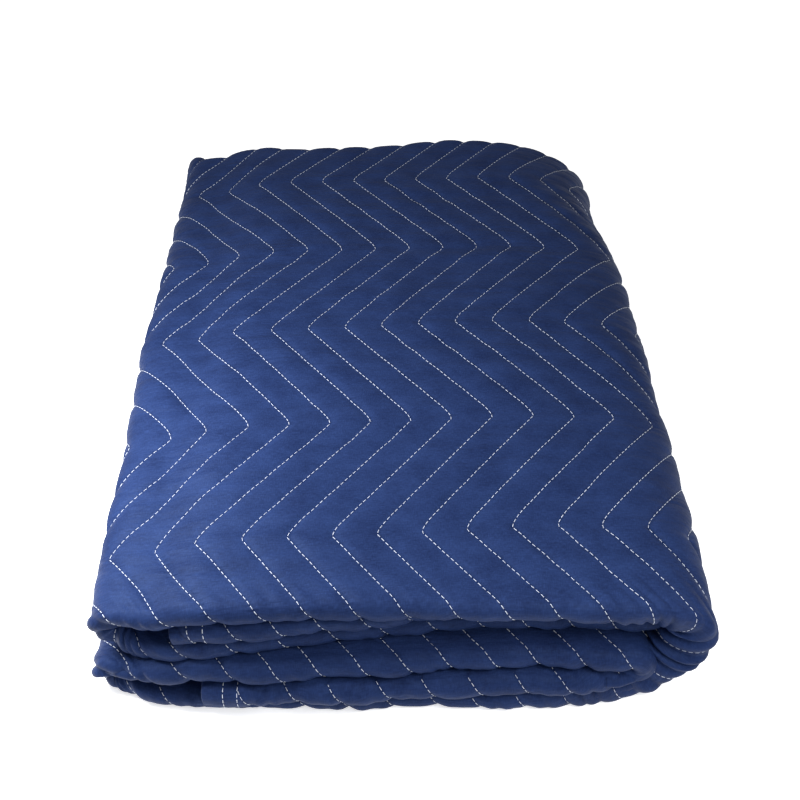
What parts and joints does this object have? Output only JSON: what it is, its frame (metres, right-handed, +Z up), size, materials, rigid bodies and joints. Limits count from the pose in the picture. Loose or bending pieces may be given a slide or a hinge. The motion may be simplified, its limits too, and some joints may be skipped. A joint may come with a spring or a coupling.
{
  "type": "folded moving blanket",
  "caption": "Quilted moving blanket, folded into a flat stack with rounded folds at the front and sides, for padding and covering furniture.",
  "frame": {"origin": "under the middle of the folded stack, on the surface it rests on", "axes": "+X to the side with the big fold, +Y to the back of the stack, along its longest side, +Z up"},
  "size_m": [0.3584, 0.4831, 0.0842],
  "materials": {
    "navy_quilted_cloth": "woven, slightly satiny, stitched with white thread"
  },
  "bodies": {
    "root": {"quilted_blanket": "navy_quilted_cloth"}
  },
  "joints": []
}
